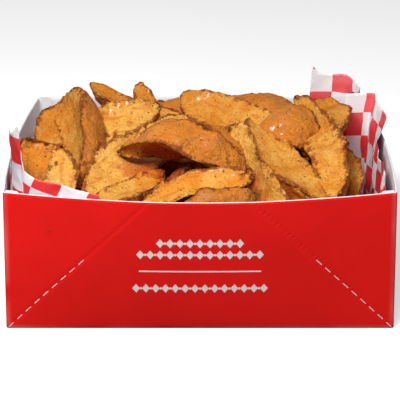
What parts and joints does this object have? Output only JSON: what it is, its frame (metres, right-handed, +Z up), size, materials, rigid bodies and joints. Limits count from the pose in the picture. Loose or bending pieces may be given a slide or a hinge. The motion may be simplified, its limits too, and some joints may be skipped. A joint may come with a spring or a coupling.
{
  "type": "potato wedges in a carton",
  "caption": "Fried potato wedges heaped in an open rectangular folded carton, on a crumpled checked paper liner that stands above the rim at the sides.",
  "frame": {"origin": "the middle of the carton's flat base, on the surface that it stands on", "axes": "+Z up, +X to the right along the printed front panel, +Y from the front panel towards the back wall"},
  "size_m": [0.209, 0.1795, 0.109],
  "materials": {
    "carton_board": "coated red outside, white inside",
    "liner_paper": "thin waxed paper, red and white check",
    "fried_potato": "golden brown fried, slightly oily"
  },
  "bodies": {
    "root": {"carton": "carton_board", "liner": "liner_paper", "wedge_heap": "fried_potato"}
  },
  "joints": []
}
